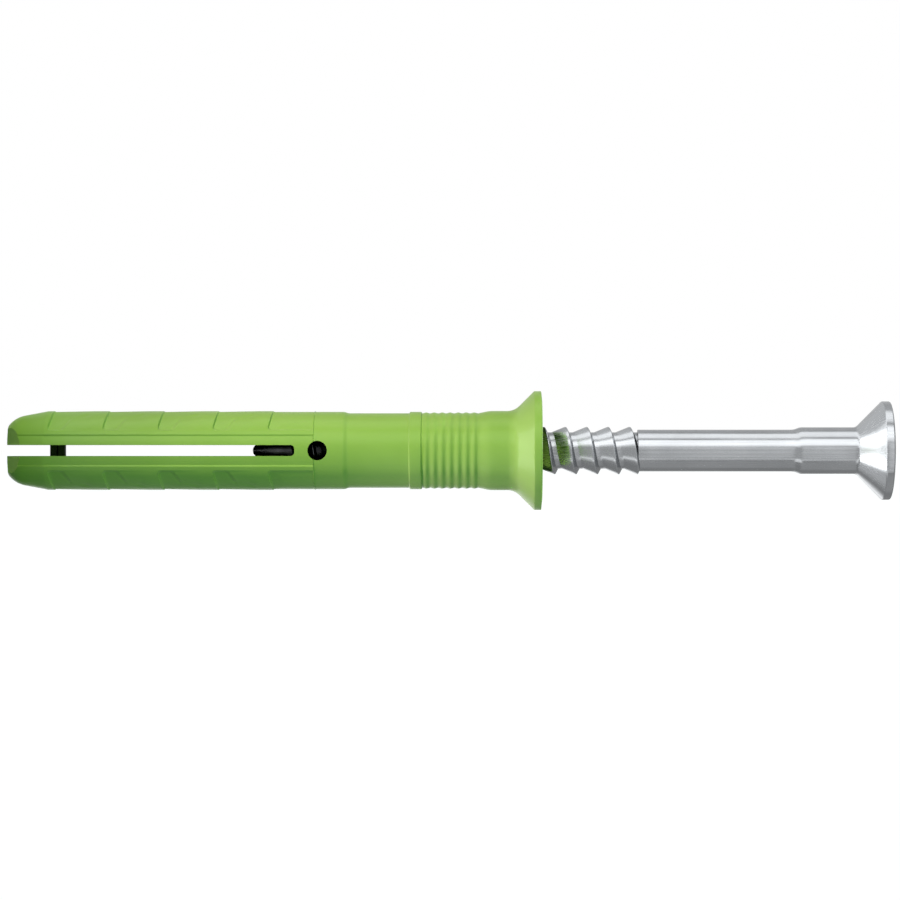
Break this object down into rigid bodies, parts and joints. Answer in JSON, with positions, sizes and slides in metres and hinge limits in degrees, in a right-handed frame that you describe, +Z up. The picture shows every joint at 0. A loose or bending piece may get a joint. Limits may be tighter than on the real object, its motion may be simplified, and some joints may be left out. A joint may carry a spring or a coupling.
{
  "type": "nail plug",
  "caption": "Hammer-in nail plug: a split plastic sleeve with barbs, sealing ribs and a countersunk flange, with a sawtooth-threaded steel nail started in its bore.",
  "frame": {"origin": "on the axis, where the straight seat of the sleeve ends and the fillet of the flange begins, which is the mouth of the drilled hole", "axes": "+X along the axis, from the tip of the plug to the head of the nail; the slot between the jaws lies in the XY plane and opens on both sides along Y; +Z up"},
  "size_m": [0.066, 0.0088, 0.0088],
  "materials": {
    "green_nylon": "satin moulded green nylon",
    "zinc_plated_steel": "bright zinc-plated cold-headed steel"
  },
  "bodies": {
    "plug": {"plug": "green_nylon"},
    "nail": {"nail": "zinc_plated_steel"}
  },
  "joints": [
    {"name": "nail_slide", "type": "slide", "parent": "plug", "child": "nail", "axis": [1, 0, 0], "range_m": [-0.026, 0.017], "deforming": ["plug"]}
  ]
}
